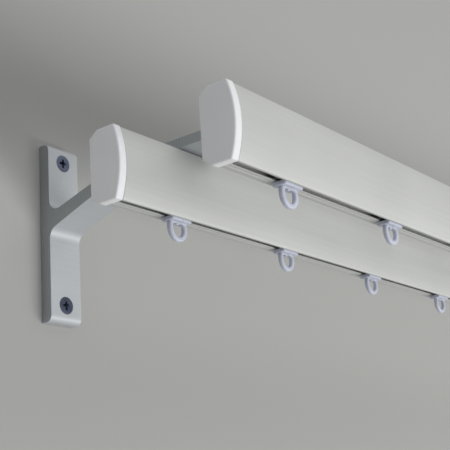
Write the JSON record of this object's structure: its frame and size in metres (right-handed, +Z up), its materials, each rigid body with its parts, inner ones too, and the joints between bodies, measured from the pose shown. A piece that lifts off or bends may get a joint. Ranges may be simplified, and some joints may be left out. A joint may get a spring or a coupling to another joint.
{
  "type": "double curtain track",
  "caption": "Wall-mounted double curtain track: two bowed-front rails on bent arm brackets, with end caps and sliding curtain gliders.",
  "frame": {"origin": "on the wall plane, in the middle of the four wall screws", "axes": "+X along the rails to the right seen from the room, +Y into the wall, +Z up"},
  "size_m": [0.76, 0.1903, 0.0916],
  "materials": {
    "rail_aluminium": "satin anodised, faint lengthwise streaks",
    "bracket_aluminium": "satin anodised, sawn sides bare and darker",
    "cap_plastic": "fine moulded satin, white",
    "glider_plastic": "milky translucent white",
    "zinc_steel": "blue-black zinc plating"
  },
  "bodies": {
    "track": {"left_bracket": "bracket_aluminium", "left_upper_wall_screw": "zinc_steel", "left_lower_wall_screw": "zinc_steel", "right_bracket": "bracket_aluminium", "right_upper_wall_screw": "zinc_steel", "right_lower_wall_screw": "zinc_steel", "rear_rail": "rail_aluminium", "rear_left_end_cap": "cap_plastic", "rear_left_set_screw": "zinc_steel", "rear_right_end_cap": "cap_plastic", "rear_right_set_screw": "zinc_steel", "front_rail": "rail_aluminium", "front_left_end_cap": "cap_plastic", "front_left_set_screw": "zinc_steel", "front_right_end_cap": "cap_plastic", "front_right_set_screw": "zinc_steel"},
    "rear_glider_1": {"rear_glider_1": "glider_plastic"},
    "rear_glider_2": {"rear_glider_2": "glider_plastic"},
    "rear_glider_3": {"rear_glider_3": "glider_plastic"},
    "rear_glider_4": {"rear_glider_4": "glider_plastic"},
    "rear_glider_5": {"rear_glider_5": "glider_plastic"},
    "rear_glider_6": {"rear_glider_6": "glider_plastic"},
    "rear_glider_7": {"rear_glider_7": "glider_plastic"},
    "rear_glider_8": {"rear_glider_8": "glider_plastic"},
    "rear_glider_9": {"rear_glider_9": "glider_plastic"},
    "front_glider_1": {"front_glider_1": "glider_plastic"},
    "front_glider_2": {"front_glider_2": "glider_plastic"},
    "front_glider_3": {"front_glider_3": "glider_plastic"},
    "front_glider_4": {"front_glider_4": "glider_plastic"},
    "front_glider_5": {"front_glider_5": "glider_plastic"},
    "front_glider_6": {"front_glider_6": "glider_plastic"},
    "front_glider_7": {"front_glider_7": "glider_plastic"},
    "front_glider_8": {"front_glider_8": "glider_plastic"},
    "front_glider_9": {"front_glider_9": "glider_plastic"}
  },
  "joints": [
    {"name": "rear_glider_1_slide", "type": "slide", "parent": "track", "child": "rear_glider_1", "axis": [1, 0, 0], "range_m": [-0.0282, 0.035]},
    {"name": "rear_glider_2_slide", "type": "slide", "parent": "track", "child": "rear_glider_2", "axis": [1, 0, 0], "range_m": [-0.035, 0.035]},
    {"name": "rear_glider_3_slide", "type": "slide", "parent": "track", "child": "rear_glider_3", "axis": [1, 0, 0], "range_m": [-0.035, 0.035]},
    {"name": "rear_glider_4_slide", "type": "slide", "parent": "track", "child": "rear_glider_4", "axis": [1, 0, 0], "range_m": [-0.035, 0.035]},
    {"name": "rear_glider_5_slide", "type": "slide", "parent": "track", "child": "rear_glider_5", "axis": [1, 0, 0], "range_m": [-0.035, 0.035]},
    {"name": "rear_glider_6_slide", "type": "slide", "parent": "track", "child": "rear_glider_6", "axis": [1, 0, 0], "range_m": [-0.035, 0.035]},
    {"name": "rear_glider_7_slide", "type": "slide", "parent": "track", "child": "rear_glider_7", "axis": [1, 0, 0], "range_m": [-0.035, 0.035]},
    {"name": "rear_glider_8_slide", "type": "slide", "parent": "track", "child": "rear_glider_8", "axis": [1, 0, 0], "range_m": [-0.035, 0.035]},
    {"name": "rear_glider_9_slide", "type": "slide", "parent": "track", "child": "rear_glider_9", "axis": [1, 0, 0], "range_m": [-0.035, 0.0282]},
    {"name": "front_glider_1_slide", "type": "slide", "parent": "track", "child": "front_glider_1", "axis": [1, 0, 0], "range_m": [-0.0282, 0.035]},
    {"name": "front_glider_2_slide", "type": "slide", "parent": "track", "child": "front_glider_2", "axis": [1, 0, 0], "range_m": [-0.035, 0.035]},
    {"name": "front_glider_3_slide", "type": "slide", "parent": "track", "child": "front_glider_3", "axis": [1, 0, 0], "range_m": [-0.035, 0.035]},
    {"name": "front_glider_4_slide", "type": "slide", "parent": "track", "child": "front_glider_4", "axis": [1, 0, 0], "range_m": [-0.035, 0.035]},
    {"name": "front_glider_5_slide", "type": "slide", "parent": "track", "child": "front_glider_5", "axis": [1, 0, 0], "range_m": [-0.035, 0.035]},
    {"name": "front_glider_6_slide", "type": "slide", "parent": "track", "child": "front_glider_6", "axis": [1, 0, 0], "range_m": [-0.035, 0.035]},
    {"name": "front_glider_7_slide", "type": "slide", "parent": "track", "child": "front_glider_7", "axis": [1, 0, 0], "range_m": [-0.035, 0.035]},
    {"name": "front_glider_8_slide", "type": "slide", "parent": "track", "child": "front_glider_8", "axis": [1, 0, 0], "range_m": [-0.035, 0.035]},
    {"name": "front_glider_9_slide", "type": "slide", "parent": "track", "child": "front_glider_9", "axis": [1, 0, 0], "range_m": [-0.035, 0.0282]}
  ]
}
